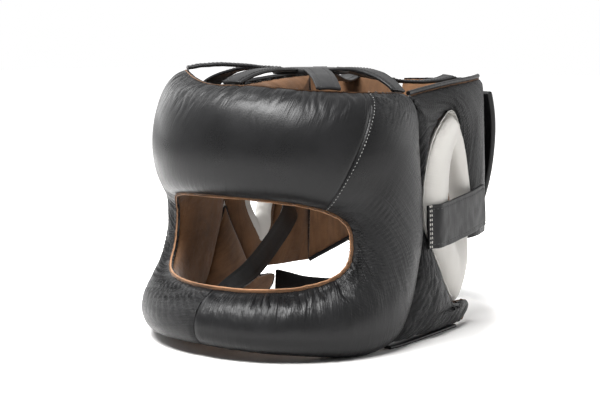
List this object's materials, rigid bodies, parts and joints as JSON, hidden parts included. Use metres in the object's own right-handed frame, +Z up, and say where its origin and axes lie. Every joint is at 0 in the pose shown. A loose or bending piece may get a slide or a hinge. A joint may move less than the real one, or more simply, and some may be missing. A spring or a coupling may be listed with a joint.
{
  "type": "boxing headgear",
  "caption": "Padded leather boxing headgear with a bar across the face, ear guards, crown straps and a hook-and-loop flap at the back, worn to protect the head in sparring.",
  "frame": {"origin": "middle of the footprint's box, on the surface that the headgear stands on", "axes": "+Z up, the face looks along -Y, the wearer's left is +X"},
  "size_m": [0.2206, 0.2966, 0.2037],
  "materials": {
    "black_leather": "smooth semi-gloss black cowhide with fine creases",
    "white_leather": "smooth matt off-white leather",
    "brown_suede": "matt brown suede lining",
    "padding_foam": "closed-cell foam, hidden inside",
    "bar_core": "plain moulded strip, hidden inside",
    "tan_binding": "turned suede edge, lighter than the lining",
    "hook_and_loop": "black hook-and-loop tape"
  },
  "bodies": {
    "headgear": {"forehead_cover": "black_leather", "cheek_cover_left": "black_leather", "cheek_cover_right": "black_leather", "side_panel_cover_left": "black_leather", "side_panel_cover_right": "black_leather", "jaw_pad_cover_left": "black_leather", "jaw_pad_cover_right": "black_leather", "jaw_hem_left": "black_leather", "jaw_hem_right": "black_leather", "top_piping_left": "black_leather", "top_piping_right": "black_leather", "back_panel_cover_left": "black_leather", "back_panel_cover_right": "black_leather", "rear_underflap": "black_leather", "crown_pad": "black_leather", "crown_strap_front": "black_leather", "crown_strap_temple_left": "black_leather", "crown_strap_temple_right": "black_leather", "crown_strap_side_left": "black_leather", "crown_strap_side_right": "black_leather", "crown_strap_rear_left": "black_leather", "crown_strap_rear_right": "black_leather", "chin_strap_diagonal": "black_leather", "ear_guard_cover_left": "white_leather", "ear_guard_cover_right": "white_leather", "mask_lining": "brown_suede", "side_panel_lining_left": "brown_suede", "side_panel_lining_right": "brown_suede", "ear_guard_lining_left": "brown_suede", "ear_guard_lining_right": "brown_suede", "jaw_pad_lining_left": "brown_suede", "jaw_pad_lining_right": "brown_suede", "back_panel_lining_left": "brown_suede", "back_panel_lining_right": "brown_suede", "mask_foam_outer": "padding_foam", "mask_foam_inner": "padding_foam", "side_panel_foam_left": "padding_foam", "side_panel_foam_right": "padding_foam", "ear_guard_foam_left": "padding_foam", "ear_guard_foam_right": "padding_foam", "jaw_pad_foam_left": "padding_foam", "jaw_pad_foam_right": "padding_foam", "back_panel_foam_left": "padding_foam", "back_panel_foam_right": "padding_foam", "face_bar_core": "bar_core", "eye_opening_binding": "tan_binding", "rear_loop_patch": "hook_and_loop", "side_loop_patch": "hook_and_loop"},
    "flap": {"rear_flap": "black_leather", "rear_hook_patch": "hook_and_loop"},
    "ear_strap": {"side_strap": "black_leather", "side_hook_patch": "hook_and_loop"},
    "chin_strap": {"chin_strap_long": "black_leather"}
  },
  "joints": [
    {"name": "flap_opening", "type": "hinge", "parent": "headgear", "child": "flap", "pos_m": [0.0815, 0.133, 0.13], "axis": [0, 0, -1], "range_deg": [0, 110]},
    {"name": "ear_strap_opening", "type": "hinge", "parent": "headgear", "child": "ear_strap", "pos_m": [0.1035, -0.002, 0.085], "axis": [0, 0, -1], "range_deg": [0, 75]},
    {"name": "chin_strap_swing", "type": "hinge", "parent": "headgear", "child": "chin_strap", "pos_m": [0.0826, -0.0284, 0.04], "axis": [0, 0, -1], "range_deg": [0, 70]}
  ]
}
